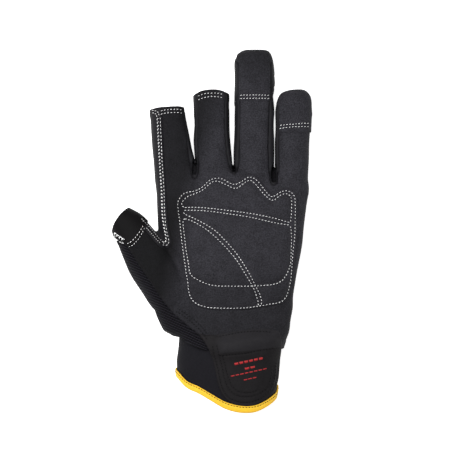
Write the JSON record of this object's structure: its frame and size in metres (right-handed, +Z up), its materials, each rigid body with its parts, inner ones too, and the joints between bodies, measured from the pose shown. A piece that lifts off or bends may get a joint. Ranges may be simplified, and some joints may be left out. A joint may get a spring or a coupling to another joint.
{
  "type": "work glove",
  "caption": "Left-hand work glove lying palm up: suede palm with a padded patch, knitted back, open thumb, index and middle ends, closed ring and little fingers, stretch cuff with yellow tape",
  "frame": {"origin": "the middle of the glove's footprint, on the surface that it lies on", "axes": "+Y runs from the cuff to the fingertips, +X towards the little finger, and +Z up out of the palm side, which faces up"},
  "size_m": [0.1391, 0.25, 0.0464],
  "materials": {
    "palm_suede": "matt napped suede, charcoal",
    "ribbed_knit": "fine ribbed knit, black",
    "stretch_cloth": "smooth stretch cloth, charcoal",
    "smooth_leather": "smooth synthetic leather, black",
    "cuff_neoprene": "cloth-faced neoprene, black",
    "yellow_tape": "folded binding tape, yellow"
  },
  "bodies": {
    "root": {"palm_panel": "palm_suede", "back_panel": "ribbed_knit", "fourchette_index_middle": "stretch_cloth", "fourchette_middle_ring": "stretch_cloth", "fourchette_ring_little": "stretch_cloth", "thumb_index_strip": "stretch_cloth", "ring_tip_patch": "palm_suede", "little_tip_patch": "palm_suede", "thumb_cap": "smooth_leather", "palm_patch": "palm_suede", "cuff": "cuff_neoprene", "cuff_binding": "yellow_tape", "wrist_tab": "smooth_leather"}
  },
  "joints": []
}
